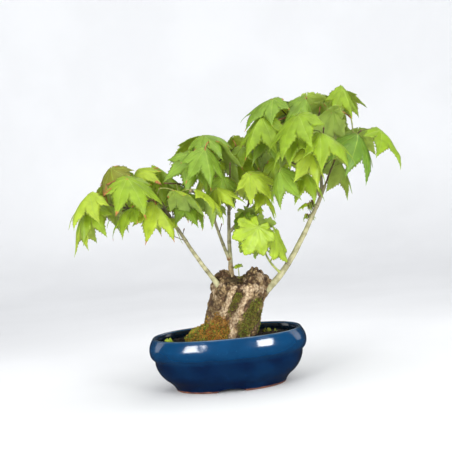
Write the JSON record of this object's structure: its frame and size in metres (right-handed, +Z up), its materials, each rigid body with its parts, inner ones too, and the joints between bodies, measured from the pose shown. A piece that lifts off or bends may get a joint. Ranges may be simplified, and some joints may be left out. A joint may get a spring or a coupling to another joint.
{
  "type": "potted maple bonsai",
  "caption": "Small maple bonsai in a shallow oval blue-glazed pot: a fat knobbly stump in mossy soil, slim bare boughs and loose drooping masses of lobed green leaves",
  "frame": {"origin": "under the middle of the whole plant's box, on the surface that the pot stands on", "axes": "+Z up, +X towards the plant's right as the picture shows it, along the pot's long side, and -Y towards the viewer"},
  "size_m": [0.3312, 0.2122, 0.2946],
  "materials": {
    "glaze": "gloss",
    "soil": "matte",
    "bark": "matte",
    "moss": "matte",
    "stem": "matte",
    "leaf": "satin",
    "young_leaf": "satin"
  },
  "bodies": {
    "root": {"pot": "glaze", "soil": "soil", "trunk": "bark", "moss_mound": "moss", "left_bough": "stem", "left_low": "stem", "left_upper": "stem", "left_rear": "stem", "centre_bough": "stem", "centre_left": "stem", "centre_out": "stem", "centre_right": "stem", "centre_cross": "stem", "centre_rear": "stem", "centre_high": "stem", "right_bough": "stem", "right_leader": "stem", "right_side": "stem", "right_outer": "stem", "right_rear": "stem", "right_lift": "stem", "right_fore": "stem", "shoot": "stem", "shoot_leaves": "young_leaf", "left_far": "leaf", "right_far": "leaf", "right_top": "leaf", "right_top_left": "leaf", "left_top": "leaf", "centre_left_top": "leaf", "left_front": "leaf", "centre_left_front": "leaf", "centre_front": "leaf", "right_low": "leaf", "right_mid": "leaf", "right_front": "leaf", "left_inner": "leaf", "centre_mid": "leaf", "centre_right_top": "leaf", "left_back": "leaf", "centre_back": "leaf", "right_back": "leaf", "sprig": "young_leaf"}
  },
  "joints": []
}
